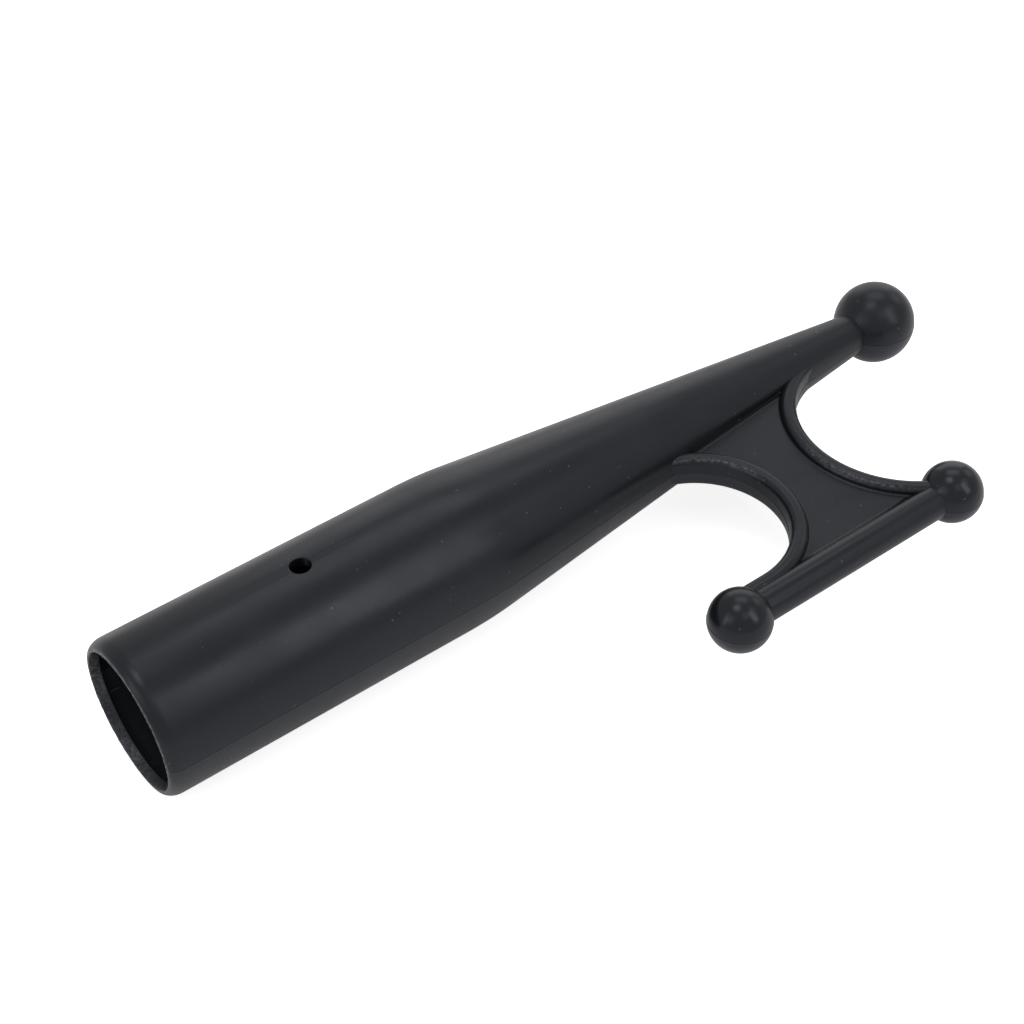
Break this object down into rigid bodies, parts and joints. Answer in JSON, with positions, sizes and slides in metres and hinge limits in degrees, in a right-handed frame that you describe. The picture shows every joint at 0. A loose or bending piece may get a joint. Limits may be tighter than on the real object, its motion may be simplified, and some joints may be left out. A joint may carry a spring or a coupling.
{
  "type": "boat hook head",
  "caption": "One-piece moulded boat-hook head: pole socket, tapering shank with a ball tip, and a web with two hooks and a ball-ended crossbar.",
  "frame": {"origin": "centre of the pole socket's mouth", "axes": "+X along the pole axis to the tip ball, +Z square to the flat web on the side of the screw hole, the crossbar on the -Y side"},
  "size_m": [0.203, 0.0739, 0.033],
  "materials": {
    "black_nylon": "satin moulded black nylon, with a fine parting line"
  },
  "bodies": {
    "root": {"socket_sleeve": "black_nylon", "tapered_shank": "black_nylon", "tip_ball": "black_nylon", "web_plate": "black_nylon", "rear_hook_rim": "black_nylon", "front_hook_rim": "black_nylon", "crossbar": "black_nylon", "rear_bar_ball": "black_nylon", "front_bar_ball": "black_nylon"}
  },
  "joints": []
}
